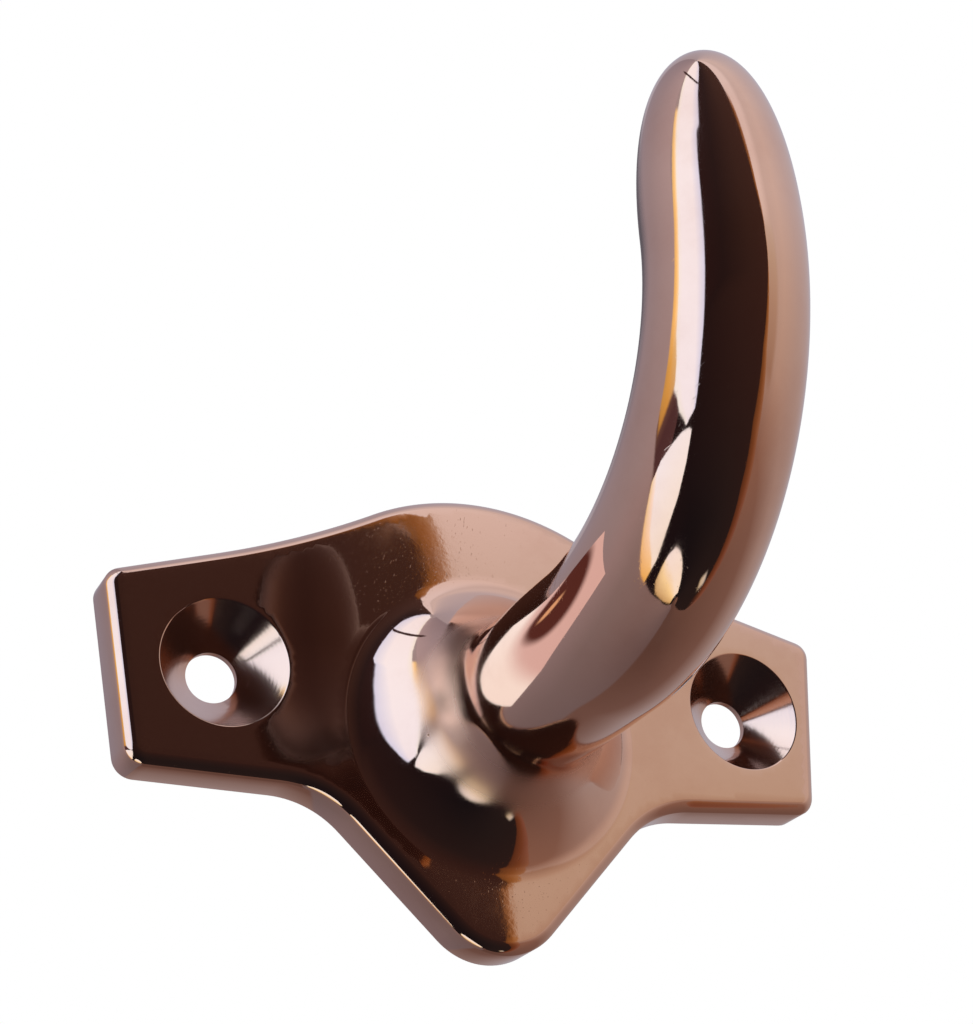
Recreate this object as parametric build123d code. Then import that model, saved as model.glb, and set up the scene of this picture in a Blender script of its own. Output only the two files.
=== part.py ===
from build123d import *

import os
from math import cos, radians, sqrt, tan

# Coat hook cast in one piece: a winged wall plate and a round horn that bends upwards.
# Millimetres. X runs along the plate, +Y into the wall, +Z up. The origin is on the plate's
# back face, midway between the wings and level with the screw holes.

# Plate
PLATE_THICKNESS = 4.0
WING_SPAN_TOP = 60.8
WING_SPAN_BOTTOM = 57.4
WING_TOP_Z = 6.6
WING_BOTTOM_Z = -8.2
WING_TOP_CORNER_RADIUS = 1.4
WING_BOTTOM_CORNER_RADIUS = 1.65
FRONT_EDGE_RADIUS = 0.85

# Hump above the horn, and the hollow shoulders that run from it into the wings
CROWN_Z = 15.95
HUMP_RADIUS = 19.9
HUMP_HALF_WIDTH = 12.45
SHOULDER_RADIUS = 77.0

# Pointed lobe below the horn
LOBE_TIP_Z = -20.8
LOBE_TIP_RADIUS = 5.6
LOBE_SIDE_ANGLE = 46.3
WAIST_HALF_WIDTH = 13.8
WAIST_RADIUS = 8.1

# Countersunk screw holes; the pair is drilled a little to one side of the plate's middle
SCREW_SPACING = 44.2
SCREW_PAIR_OFFSET = 0.75
SCREW_HOLE_RADIUS = 2.0
COUNTERSINK_RADIUS = 5.0
COUNTERSINK_ANGLE = 82.0

# Horn
HORN_AXIS_Z = -3.3
HORN_ROOT_RADIUS = 6.0
HORN_UPRIGHT_RADIUS = 5.4
HORN_STRAIGHT = 18.9
BEND_RADIUS = 20.6

# Trumpet flare: its length, how far its side runs along the horn on the profile curve, the
# flat rim left outside its foot where the plate is narrowest, and the blend at the foot
FLARE_LENGTH = 9.0
FLARE_SIDE_PULL = 6.4
FLARE_RIM = 1.45
FLARE_FOOT_BLEND = 2.4

# Bullet tip: how far the side stays upright and the crown stays level on the profile curve
TIP_TOP_Z = 31.3
TIP_SIDE_PULL = 8.7
TIP_CROWN_PULL = 3.3

TOLERANCE = 1e-3


def mirrored(points: list[tuple[float, float]]) -> list[tuple[float, float]]:
    """Points of the right half, carried to the left half in reverse order."""
    return [(-x, z) for x, z in reversed(points) if x > TOLERANCE]


def corner(sketch: Sketch, x: float, z: float) -> ShapeList[Vertex]:
    """Corners of an outline at (x, z) and at its mirror image (-x, z)."""
    return sketch.vertices().filter_by(
        lambda v: abs(abs(v.X) - abs(x)) < TOLERANCE and abs(v.Z - z) < TOLERANCE
    )


def plate_outline() -> Sketch:
    """Outline of the plate in the XZ plane, with all its corners rounded."""
    hump_centre_z = CROWN_Z - HUMP_RADIUS
    hump_foot = (HUMP_HALF_WIDTH, hump_centre_z + sqrt(HUMP_RADIUS**2 - HUMP_HALF_WIDTH**2))
    wing_top = (WING_SPAN_TOP / 2, WING_TOP_Z)
    wing_bottom = (WING_SPAN_BOTTOM / 2, WING_BOTTOM_Z)
    lobe_apex_z = LOBE_TIP_Z - LOBE_TIP_RADIUS * (1 / cos(radians(LOBE_SIDE_ANGLE)) - 1)
    waist = (WAIST_HALF_WIDTH, lobe_apex_z + WAIST_HALF_WIDTH * tan(radians(LOBE_SIDE_ANGLE)))

    right = [hump_foot, wing_top, wing_bottom, waist, (0, lobe_apex_z)]
    left = mirrored(right)
    hump = ThreePointArc(left[-1], (0, CROWN_Z), right[0])
    sides = Polyline(*right, *left)
    sketch = Plane.XZ * make_face(hump + sides)

    sketch = fillet(corner(sketch, *hump_foot), SHOULDER_RADIUS)
    sketch = fillet(corner(sketch, *waist), WAIST_RADIUS)
    sketch = fillet(corner(sketch, 0, lobe_apex_z), LOBE_TIP_RADIUS)
    sketch = fillet(corner(sketch, *wing_top), WING_TOP_CORNER_RADIUS)
    return fillet(corner(sketch, *wing_bottom), WING_BOTTOM_CORNER_RADIUS)


def plate(outline: Sketch) -> Part:
    """Flat-backed plate with a softened front edge."""
    blank = extrude(outline, PLATE_THICKNESS)
    front = blank.faces().sort_by(Axis.Y)[0]
    return fillet(front.edges(), FRONT_EDGE_RADIUS)


def bend_path() -> Curve:
    """Centre line of the quarter bend, from level to upright."""
    centre = (-PLATE_THICKNESS - HORN_STRAIGHT, HORN_AXIS_Z + BEND_RADIUS)
    return Plane.YZ * CenterArc(centre, BEND_RADIUS, -90, -90)


def shank() -> Part:
    """Level part of the horn, from inside the plate to the bend."""
    inside = PLATE_THICKNESS / 2
    base = Plane.XZ.offset(inside) * Pos(0, HORN_AXIS_Z) * Circle(HORN_ROOT_RADIUS)
    return extrude(base, PLATE_THICKNESS - inside + HORN_STRAIGHT)


def bend() -> Part:
    """Quarter bend that slims from the root's radius to the upright's."""
    path = bend_path()
    sections = [
        (path ^ 0) * Circle(HORN_ROOT_RADIUS),
        (path ^ 1) * Circle(HORN_UPRIGHT_RADIUS),
    ]
    return sweep(sections, path, multisection=True)


def upright() -> Part:
    """Upright end of the horn: one profile curve turned about its axis into a bullet."""
    foot = bend_path() @ 1
    profile = Bezier(
        (HORN_UPRIGHT_RADIUS, foot.Z),
        (HORN_UPRIGHT_RADIUS, foot.Z + TIP_SIDE_PULL),
        (TIP_CROWN_PULL, TIP_TOP_Z),
        (0, TIP_TOP_Z),
    )
    core = Polyline((0, TIP_TOP_Z), (0, foot.Z), (HORN_UPRIGHT_RADIUS, foot.Z))
    half_section = Plane.XZ * make_face(profile + core)
    return Pos(0, foot.Y) * revolve(half_section, Axis.Z)


def flare_foot_radius(outline: Sketch) -> float:
    """Radius of the ring where the flare meets the plate, set by the plate's nearest side."""
    axis = Vertex(0, 0, HORN_AXIS_Z)
    nearest = min(edge.distance_to(axis) for edge in outline.edges())
    return nearest - FRONT_EDGE_RADIUS - FLARE_RIM


def flare(foot_radius: float) -> Part:
    """Trumpet flare: one hollow profile curve turned about the horn's axis."""
    inside = PLATE_THICKNESS / 2
    foot = (foot_radius, -PLATE_THICKNESS)
    neck = (HORN_ROOT_RADIUS, -PLATE_THICKNESS - FLARE_LENGTH)
    hollow = Bezier(foot, (HORN_ROOT_RADIUS, neck[1] + FLARE_SIDE_PULL), neck)
    core = Polyline(neck, (0, neck[1]), (0, -inside), (foot_radius, -inside), foot)
    half_section = make_face(hollow + core)
    return Pos(0, 0, HORN_AXIS_Z) * revolve(half_section, Axis.Y)


def with_foot_blend(body: Part, foot_radius: float) -> Part:
    """Soften the ring where the flare meets the plate."""
    foot = body.edges().filter_by(GeomType.CIRCLE).filter_by(
        lambda e: abs(e.radius - foot_radius) < TOLERANCE
        and abs(e.center().Y + PLATE_THICKNESS) < TOLERANCE
    )
    return fillet(foot, FLARE_FOOT_BLEND)


def screw_hole(x: float) -> Part:
    """Cutter for one screw hole and its countersink, driven in from the front."""
    front = Plane.XZ.offset(PLATE_THICKNESS)
    return front * Pos(x, 0) * CounterSinkHole(
        SCREW_HOLE_RADIUS, COUNTERSINK_RADIUS, 2 * PLATE_THICKNESS, COUNTERSINK_ANGLE
    )


def hook_casting() -> Part:
    """The whole hook as one casting, with its two screw holes."""
    outline = plate_outline()
    foot_radius = flare_foot_radius(outline)
    casting = plate(outline) + flare(foot_radius) + shank()
    casting = with_foot_blend(casting, foot_radius) + bend() + upright()
    for side in (-1, 1):
        casting -= screw_hole(SCREW_PAIR_OFFSET + side * SCREW_SPACING / 2)
    return casting


def main() -> None:
    """Build the casting and write its STEP file."""
    os.makedirs("parts", exist_ok=True)
    casting = hook_casting()
    casting.label = "hook_casting"
    export_step(casting, "parts/hook_casting.step")
    box = casting.bounding_box()
    print("hook_casting", len(casting.solids()), "solid", round(casting.volume, 1), "mm3", box.size)


if __name__ == "__main__":
    main()
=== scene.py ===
"""Looks of a cast coat hook: one mirror-polished bronze casting in a plain pale studio."""

import logging
import math
from dataclasses import dataclass, field
from enum import Enum
from typing import Any

import bmesh
import bpy
import numpy as np
from mathutils import Matrix, Vector
from mathutils.geometry import delaunay_2d_cdt

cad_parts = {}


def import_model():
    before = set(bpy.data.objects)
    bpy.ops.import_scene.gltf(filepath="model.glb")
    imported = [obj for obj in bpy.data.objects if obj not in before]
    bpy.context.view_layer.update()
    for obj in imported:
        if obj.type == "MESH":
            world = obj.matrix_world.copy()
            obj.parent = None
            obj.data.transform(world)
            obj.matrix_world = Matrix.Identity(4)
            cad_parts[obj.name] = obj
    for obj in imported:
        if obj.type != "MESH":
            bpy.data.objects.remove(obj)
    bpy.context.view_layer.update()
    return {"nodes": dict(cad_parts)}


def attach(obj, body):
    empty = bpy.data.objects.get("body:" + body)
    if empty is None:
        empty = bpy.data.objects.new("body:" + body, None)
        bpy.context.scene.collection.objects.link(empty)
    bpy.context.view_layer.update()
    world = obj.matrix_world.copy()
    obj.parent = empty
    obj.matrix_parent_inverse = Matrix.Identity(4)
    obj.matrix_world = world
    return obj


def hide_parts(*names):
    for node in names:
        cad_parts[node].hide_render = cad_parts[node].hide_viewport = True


LOG = logging.getLogger("coat_hook")

MM = 0.001
NODE = "hook_casting"
BODY = "root"
FEWEST_ARC_STEPS = 8

Colour = tuple[float, float, float]
Point = tuple[float, float, float]
Span = tuple[float, float]
Stops = tuple[tuple[float, Colour], ...]
Faces = list[tuple[int, ...]]


class Socket:
    """One output of a node. Arithmetic on it adds Math nodes to the same tree."""

    def __init__(self, graph: "Graph", output: bpy.types.NodeSocket) -> None:
        """Wrap the output of a node that belongs to a graph."""
        self.graph = graph
        self.output = output

    def sibling(self, name: str) -> "Socket":
        """Another output of the same node, by name."""
        return Socket(self.graph, self.output.node.outputs[name])

    def axis(self, name: str) -> "Socket":
        """One coordinate of this vector, X, Y or Z."""
        return self.graph.add("ShaderNodeSeparateXYZ", None, {0: self}, output=name)

    def math(self, operation: str, *others: Any, clamp: bool = False) -> "Socket":
        """Add a Math node that starts with this value, its result clamped to 0..1 if asked."""
        settings = {"operation": operation, "use_clamp": clamp}
        return self.graph.add("ShaderNodeMath", settings, dict(enumerate((self, *others))))

    def vector_math(self, operation: str, other: Any) -> "Socket":
        """Add a Vector Math node that starts with this vector."""
        return self.graph.add("ShaderNodeVectorMath", {"operation": operation}, {0: self, 1: other})

    def smooth_step(self, low: float, high: float) -> "Socket":
        """Ease from 0 at low to 1 at high."""
        values = {"Value": self, "From Min": low, "From Max": high}
        return self.graph.add("ShaderNodeMapRange", {"interpolation_type": "SMOOTHSTEP"}, values)

    def __add__(self, other: Any) -> "Socket":
        """Sum."""
        return self.math("ADD", other)

    __radd__ = __add__

    def __mul__(self, other: Any) -> "Socket":
        """Product."""
        return self.math("MULTIPLY", other)

    __rmul__ = __mul__

    def __sub__(self, other: Any) -> "Socket":
        """Difference."""
        return self.math("SUBTRACT", other)

    def __rsub__(self, other: Any) -> "Socket":
        """Difference, with this value taken away from a number."""
        return self.graph.add("ShaderNodeMath", {"operation": "SUBTRACT"}, {0: other, 1: self})

    def __truediv__(self, other: Any) -> "Socket":
        """Quotient."""
        return self.math("DIVIDE", other)

    def __pow__(self, other: Any) -> "Socket":
        """Power."""
        return self.math("POWER", other)


class Graph:
    """A node tree, shader or geometry, to which nodes are added through one method."""

    def __init__(self, tree: bpy.types.NodeTree) -> None:
        """Take over a tree and clear its nodes."""
        self.tree = tree
        tree.nodes.clear()

    def add(self, kind: str, settings: dict[str, Any] | None = None,
            inputs: dict[str | int, Any] | None = None, output: str | int = 0) -> Socket:
        """Add a node.

        Args:
            kind: The node's type name.
            settings: Properties of the node, set first; stops fills a colour ramp.
            inputs: Values or sockets for its inputs, by name or by place.
            output: Name or place of the output to return.

        Returns:
            The chosen output.
        """
        node = self.tree.nodes.new(kind)
        for name, value in (settings or {}).items():
            if name == "stops":
                self.fill_ramp(node.color_ramp, value)
            else:
                setattr(node, name, value)
        for key, value in (inputs or {}).items():
            if isinstance(value, Socket):
                self.tree.links.new(value.output, node.inputs[key])
            else:
                node.inputs[key].default_value = value
        return Socket(self, node.outputs[output] if len(node.outputs) else None)

    def fill_ramp(self, ramp: bpy.types.ColorRamp, stops: Stops) -> None:
        """Give a ramp its stops.

        Args:
            ramp: The ramp to fill.
            stops: Its stops, each a place and a colour.
        """
        while len(ramp.elements) < len(stops):
            ramp.elements.new(0.5)
        for element, (place, colour) in zip(ramp.elements, stops):
            element.position = place
            element.color = (*colour, 1)

    def mix(self, factor: Any, first: Any, second: Any) -> Socket:
        """Blend two colours.

        Args:
            factor: Share of the second colour.
            first: Colour at 0.
            second: Colour at 1.

        Returns:
            The blended colour.
        """
        pair = [value if isinstance(value, Socket) else (*value, 1) for value in (first, second)]
        values = {0: factor, 6: pair[0], 7: pair[1]}
        return self.add("ShaderNodeMix", {"data_type": "RGBA"}, values, output=2)

    def noise(self, where: Socket, per_mm: float, detail: float, roughness: float = 0.5) -> Socket:
        """Noise from 0 to 1, by swells in a millimetre, finer layers and their strength."""
        values = {"Vector": where, "Scale": per_mm / MM, "Detail": detail, "Roughness": roughness}
        return self.add("ShaderNodeTexNoise", None, values)


def new_material(name: str) -> tuple[bpy.types.Material, Graph]:
    """Make a node material.

    Args:
        name: Name of the material.

    Returns:
        The material, and the graph of its empty tree.
    """
    made = bpy.data.materials.new(name)
    made.use_nodes = True
    return made, Graph(made.node_tree)


def new_mesh(name: str, verts: Any, faces: Any) -> bpy.types.Mesh:
    """Make a mesh.

    Args:
        name: Name of the mesh.
        verts: Its points.
        faces: Its faces as indices into those points.

    Returns:
        The mesh.
    """
    mesh = bpy.data.meshes.new(name)
    mesh.from_pydata(verts, [], faces)
    return mesh


def new_object(name: str, data: Any) -> bpy.types.Object:
    """Make an object at the origin and link it to the scene.

    Args:
        name: Name of the object.
        data: Mesh, curve, lamp or camera that it carries.

    Returns:
        The object.
    """
    made = bpy.data.objects.new(name, data)
    bpy.context.collection.objects.link(made)
    return made


def end_glow(graph: Graph, colour: Socket, mask: Any) -> None:
    """End a card's tree, which glows where the mask is 1 and is clear where it is 0.

    Args:
        graph: The card's graph.
        colour: Colour of the glow.
        mask: The mask, a socket or a number.
    """
    glow = graph.add("ShaderNodeEmission", None, {"Color": colour})
    clear = graph.add("ShaderNodeBsdfTransparent")
    shader = graph.add("ShaderNodeMixShader", None, {0: mask, 1: clear, 2: glow})
    graph.add("ShaderNodeOutputMaterial", None, {"Surface": shader})


def hang_card(name: str, mesh: bpy.types.Mesh, material: bpy.types.Material) -> None:
    """Hang a card on the stage, seen by reflections and by nothing else.

    Args:
        name: Name of the card.
        mesh: Its mesh.
        material: Its glow.
    """
    mesh.materials.append(material)
    card = new_object(name, mesh)
    card.visible_camera = False
    card.visible_diffuse = False
    card.visible_shadow = False
    card.visible_transmission = False
    LOG.info("card %s: %d faces", name, len(mesh.polygons))


class ScratchWay(Enum):
    """Directions in which a cloth or a buffing wheel leaves its hairlines."""

    ALONG_PLATE = (0.0, 78.0, 12.0)
    ACROSS_PLATE = (35.0, 14.0, 64.0)
    STEEP = (70.0, 120.0, -38.0)


@dataclass(frozen=True)
class PolishedBronze:
    """Hand-polished cast bronze: mirror bright, with a trace of tarnish, hairlines and tiny pits,
    and painted shade on the horn's side that faces the plate.

    Lengths are in millimetres. A depth is measured from the wall, and a facing is the part of the
    surface normal that points at the wall.

    Attributes:
        hairline_stretch: Squeeze of the noise along a scratch and across it.
        hairline_span: Noise values between which a scratch appears.
        scratched_span: Noise values between which a scratched patch appears.
        pit_size: Smallest size of a pit and the range above it, as shares of a cell.
        pit_rim: Shares of a pit's size over which its wall rises.
        outside: Depths between which the horn has left the flare.
        dull_side: Facings between which the horn's plate side turns dull.
        painted_shade_side: Facings between which painted shade darkens the horn's side that faces
            the plate.
        root_rise: Depths between which the slightly dull root begins.
        root_fall: Depths between which it ends.
        neck_rise: Depths between which the dull neck of the flare begins.
        neck_fall: Depths between which it ends.
        hole_middle: Where the middle between the two screw holes lies along X.
        hole_offset: Distance of each screw hole from that middle.
        countersink_rim: Radii between which a countersink's duller finish ends.
    """

    bright: Colour = (0.74, 0.50, 0.39)
    tarnished: Colour = (0.66, 0.41, 0.31)
    mirror_roughness: float = 0.035
    tarnish_roughness: float = 0.05
    tarnish_per_mm: float = 0.09
    tarnish_detail: float = 5.0
    tarnish_grit: float = 0.62
    tarnish_span: Span = (0.42, 0.68)
    tarnish_share: float = 0.55
    hairline_roughness: float = 0.10
    hairline_depth: float = 0.0008
    hairline_stretch: Point = (0.035, 1.0, 1.0)
    hairlines_per_mm: float = 7.0
    hairline_span: Span = (0.70, 0.78)
    scratched_per_mm: float = 0.11
    scratched_span: Span = (0.45, 0.70)
    swell_height: float = 0.010
    swells_per_mm: float = 0.16
    grain_height: float = 0.0006
    grains_per_mm: float = 2.6
    grain_detail: float = 3.0
    pit_depth: float = 0.02
    pits_per_mm: float = 0.42
    pit_share: float = 0.16
    pit_size: Span = (0.02, 0.035)
    pit_rim: Span = (0.4, 1.0)
    pit_cover: float = 0.8
    pit_tint: float = 0.3
    pit_roughness: float = 0.3
    outside: Span = (14.0, 20.0)
    dull_side: Span = (0.05, 0.35)
    painted_shade_side: Span = (0.06, 0.36)
    root_rise: Span = (8.5, 11.0)
    root_fall: Span = (24.0, 34.0)
    root_dullness: float = 0.08
    neck_rise: Span = (6.6, 8.0)
    neck_fall: Span = (10.2, 12.6)
    neck_dullness: float = 0.7
    # Painted shade: the dark colour given to the horn's side that faces the plate.
    painted_shade_colour: Colour = (0.10, 0.050, 0.036)
    unreached_roughness: float = 0.35
    turned_roughness: float = 0.10
    hole_middle: float = 0.75
    hole_offset: float = 22.1
    countersink_rim: Span = (4.92, 5.0)

    def hairlines(self, graph: Graph, where: Socket, way: ScratchWay) -> Socket:
        """Sparse thin scratches that run one way.

        Args:
            graph: The material's graph.
            where: Object coordinates.
            way: Direction of the scratches.

        Returns:
            A mask, 1 in a scratch and 0 elsewhere.
        """
        turn = tuple(math.radians(angle) for angle in way.value)
        turned = graph.add("ShaderNodeMapping", None, {"Vector": where, "Rotation": turn})
        drawn = turned.vector_math("MULTIPLY", self.hairline_stretch)
        lines = graph.noise(drawn, self.hairlines_per_mm, detail=1.0)
        patches = graph.noise(turned, self.scratched_per_mm, detail=1.0)
        return lines.smooth_step(*self.hairline_span) * patches.smooth_step(*self.scratched_span)

    def pits(self, graph: Graph, where: Socket) -> Socket:
        """Tiny round casting pits, left in a few cells only.

        Args:
            graph: The material's graph.
            where: Object coordinates.

        Returns:
            A mask, 1 in a pit and 0 elsewhere.
        """
        values = {"Vector": where, "Scale": self.pits_per_mm / MM}
        cells = graph.add("ShaderNodeTexVoronoi", {"feature": "F1"}, values, output="Distance")
        parts = graph.add("ShaderNodeSeparateColor", None, {0: cells.sibling("Color")})
        chosen = parts.math("LESS_THAN", self.pit_share)
        smallest, extra = self.pit_size
        size = parts.sibling("Green") * extra + smallest
        return chosen * (1 - (cells / size).smooth_step(*self.pit_rim))

    def dullness_and_painted_shade(self, graph: Graph, where: Socket) -> tuple[Socket, Socket]:
        """Dull where the wheel hardly reached: the horn's plate side, its root and the flare's
        neck; and painted shade, which darkens the colour of the horn's side that faces the plate.

        Args:
            graph: The material's graph.
            where: Object coordinates.

        Returns:
            Masks of the dull surface and of the painted shade, 1 there and 0 elsewhere.
        """
        facing = graph.add("ShaderNodeTexCoord", output="Normal").axis("Y")
        depth = where.axis("Y") * (-1 / MM)
        outside = depth.smooth_step(*self.outside)
        root = depth.smooth_step(*self.root_rise) * (1 - depth.smooth_step(*self.root_fall))
        neck = depth.smooth_step(*self.neck_rise) * (1 - depth.smooth_step(*self.neck_fall))
        dull = (facing.smooth_step(*self.dull_side) * outside).math(
            "MAXIMUM", root * self.root_dullness
        ).math("MAXIMUM", neck * self.neck_dullness)
        # The second mask is painted shade on the horn's side that faces the plate.
        return dull, facing.smooth_step(*self.painted_shade_side) * outside

    def turned(self, where: Socket) -> Socket:
        """The two countersinks, which the drill left less bright.

        Args:
            where: Object coordinates.

        Returns:
            A mask, 1 there and 0 elsewhere.
        """
        side = (where.axis("X") * (1 / MM) - self.hole_middle).math("ABSOLUTE") - self.hole_offset
        height = where.axis("Z") * (1 / MM)
        return 1 - ((side ** 2 + height ** 2) ** 0.5).smooth_step(*self.countersink_rim)

    def material(self) -> bpy.types.Material:
        """Build the node material.

        Returns:
            The finished material.
        """
        made, graph = new_material("polished_bronze")
        where = graph.add("ShaderNodeTexCoord", output="Object")
        tarnish = graph.noise(where, self.tarnish_per_mm, self.tarnish_detail, self.tarnish_grit)
        tarnish = tarnish.smooth_step(*self.tarnish_span)
        hairlines = self.hairlines(graph, where, ScratchWay.ALONG_PLATE)
        for way in (ScratchWay.ACROSS_PLATE, ScratchWay.STEEP):
            hairlines = hairlines.math("MAXIMUM", self.hairlines(graph, where, way))
        pits = self.pits(graph, where)
        pit_colour = tuple(self.pit_tint * part for part in self.tarnished)
        dull, dark = self.dullness_and_painted_shade(graph, where)
        colour = graph.mix(tarnish * self.tarnish_share, self.bright, self.tarnished)
        colour = graph.mix(pits * self.pit_cover, colour, pit_colour)
        # Painted shade: the horn's side that faces the plate is coloured dark.
        colour = graph.mix(dark, colour, self.painted_shade_colour)
        roughness = (self.mirror_roughness + dull * self.unreached_roughness
                     + tarnish * self.tarnish_roughness + hairlines * self.hairline_roughness
                     + pits * self.pit_roughness + self.turned(where) * self.turned_roughness)
        height = (graph.noise(where, self.swells_per_mm, detail=1.0) * self.swell_height
                  + graph.noise(where, self.grains_per_mm, self.grain_detail) * self.grain_height
                  - hairlines * self.hairline_depth - pits * self.pit_depth)
        values = {"Strength": 1.0, "Distance": MM, "Height": height}
        bump = graph.add("ShaderNodeBump", None, values)
        shader = graph.add("ShaderNodeBsdfPrincipled", None, {
            "Base Color": colour, "Metallic": 1.0, "Roughness": roughness, "Normal": bump,
        })
        graph.add("ShaderNodeOutputMaterial", None, {"Surface": shader})
        LOG.info("material %s: %d nodes", made.name, len(made.node_tree.nodes))
        return made


@dataclass
class GeometryTree:
    """A Geometry Nodes tree with named inputs, applied to one object and baked to its mesh."""

    name: str
    inputs: dict[str, Any]
    sockets: dict[str, str] = field(default_factory=dict)

    def start(self) -> tuple[Graph, Socket]:
        """Make the tree's interface.

        Returns:
            The graph, and the group's first input, the geometry.
        """
        kinds = {int: "NodeSocketInt", float: "NodeSocketFloat"}
        tree = bpy.data.node_groups.new(self.name, "GeometryNodeTree")
        face = tree.interface
        face.new_socket("Geometry", in_out="OUTPUT", socket_type="NodeSocketGeometry")
        face.new_socket("Geometry", in_out="INPUT", socket_type="NodeSocketGeometry")
        for name, value in self.inputs.items():
            kind = kinds.get(type(value), "NodeSocketMaterial")
            self.sockets[name] = face.new_socket(name, in_out="INPUT", socket_type=kind).identifier
        graph = Graph(tree)
        return graph, graph.add("NodeGroupInput", output="Geometry")

    def finish(self, graph: Graph, shape: Socket, material: Socket) -> None:
        """Close the tree with Realize Instances and Set Material.

        Args:
            graph: The graph from start.
            shape: Geometry to hand out.
            material: The group's material input.
        """
        smooth = graph.add("GeometryNodeSetShadeSmooth", None, {"Geometry": shape})
        real = graph.add("GeometryNodeRealizeInstances", None, {"Geometry": smooth})
        values = {"Geometry": real, "Material": material}
        dressed = graph.add("GeometryNodeSetMaterial", None, values)
        graph.add("NodeGroupOutput", None, {"Geometry": dressed})

    def bake(self, graph: Graph, data: Any) -> bpy.types.Mesh:
        """Run the tree on a mesh or a curve.

        Args:
            graph: The finished graph.
            data: The input geometry, carried by an object that is removed afterwards.

        Returns:
            The result as a plain mesh.
        """
        source = new_object(self.name, data)
        modifier = source.modifiers.new(self.name, "NODES")
        modifier.node_group = graph.tree
        for name, value in self.inputs.items():
            modifier[self.sockets[name]] = value
        depsgraph = bpy.context.evaluated_depsgraph_get()
        mesh = bpy.data.meshes.new_from_object(source.evaluated_get(depsgraph), depsgraph=depsgraph)
        source.modifiers.remove(modifier)
        bpy.data.objects.remove(source)
        LOG.info("%s: %d vertices", self.name, len(mesh.vertices))
        return mesh


def mesh_points(mesh: bpy.types.Mesh) -> np.ndarray:
    """Read the vertex positions of a mesh.

    Args:
        mesh: The mesh.

    Returns:
        The positions, one row each.
    """
    flat = np.empty(3 * len(mesh.vertices))
    mesh.vertices.foreach_get("co", flat)
    return flat.reshape(-1, 3)


def flattened(points: np.ndarray) -> np.ndarray:
    """The x and z of points in space."""
    return points[:, [0, 2]]


def raised(flat: np.ndarray, y: Any) -> np.ndarray:
    """Points in space from their x and z, at one depth or at a depth for each."""
    return np.stack([flat[:, 0], np.broadcast_to(y, len(flat)), flat[:, 1]], axis=1)


def bezier(points: tuple[tuple[float, float], ...], count: int) -> np.ndarray:
    """Points along a Bezier curve of any degree, both ends included.

    Args:
        points: Control points.
        count: Number of points to return.

    Returns:
        The points, one row each.
    """
    shares = np.linspace(0, 1, count)[:, None]
    layer = [np.tile(np.array(point), (count, 1)) for point in points]
    while len(layer) > 1:
        layer = [first + (second - first) * shares for first, second in zip(layer, layer[1:])]
    return layer[0]


def arc_points(centre: np.ndarray, radius: float, start: float, end: float,
               step: float) -> np.ndarray:
    """Sample a circular arc.

    Args:
        centre: Centre of the arc in the plate's plane.
        radius: Radius of the arc.
        start: Angle of the first point, in radians.
        end: Angle of the last point, in radians.
        step: Longest distance between neighbouring points.

    Returns:
        Points on the arc, first and last included.
    """
    count = max(FEWEST_ARC_STEPS, math.ceil(radius * abs(end - start) / step))
    angles = np.linspace(start, end, count + 1)
    return centre + radius * np.stack([np.cos(angles), np.sin(angles)], axis=1)


def straight_points(start: np.ndarray, end: np.ndarray, step: float) -> np.ndarray:
    """Sample a straight run, both ends included, no further apart than step."""
    count = max(1, math.ceil(np.linalg.norm(end - start) / step))
    return start + (end - start) * np.linspace(0, 1, count + 1)[:, None]


def unit(vector: np.ndarray) -> np.ndarray:
    """The vector at length one."""
    return vector / np.linalg.norm(vector)


def angle_of(vector: np.ndarray) -> float:
    """Angle of a vector in the plane, in radians."""
    return math.atan2(vector[1], vector[0])


def shortest_turn(start: float, end: float) -> float:
    """Turn from one angle to another, by half a circle at most."""
    return (end - start + math.pi) % math.tau - math.pi


@dataclass(frozen=True)
class CornerRound:
    """A rounded corner between two straight runs of an outline.

    Attributes:
        before: Point that the first run comes from.
        corner: Sharp corner where the two runs meet.
        after: Point that the second run goes to.
        radius: Radius of the rounding.
    """

    before: np.ndarray
    corner: np.ndarray
    after: np.ndarray
    radius: float

    def sample(self, step: float) -> np.ndarray:
        """Points on the rounding from one tangent point to the other.

        Args:
            step: Longest distance between neighbouring points.

        Returns:
            Points on the arc.
        """
        back = unit(self.before - self.corner)
        ahead = unit(self.after - self.corner)
        half = math.acos(float(np.clip(back @ ahead, -1, 1))) / 2
        centre = self.corner + unit(back + ahead) * self.radius / math.sin(half)
        reach = self.radius / math.tan(half)
        first = self.corner + back * reach - centre
        last = self.corner + ahead * reach - centre
        start = angle_of(first)
        end = start + shortest_turn(start, angle_of(last))
        return arc_points(centre, self.radius, start, end, step)


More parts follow.
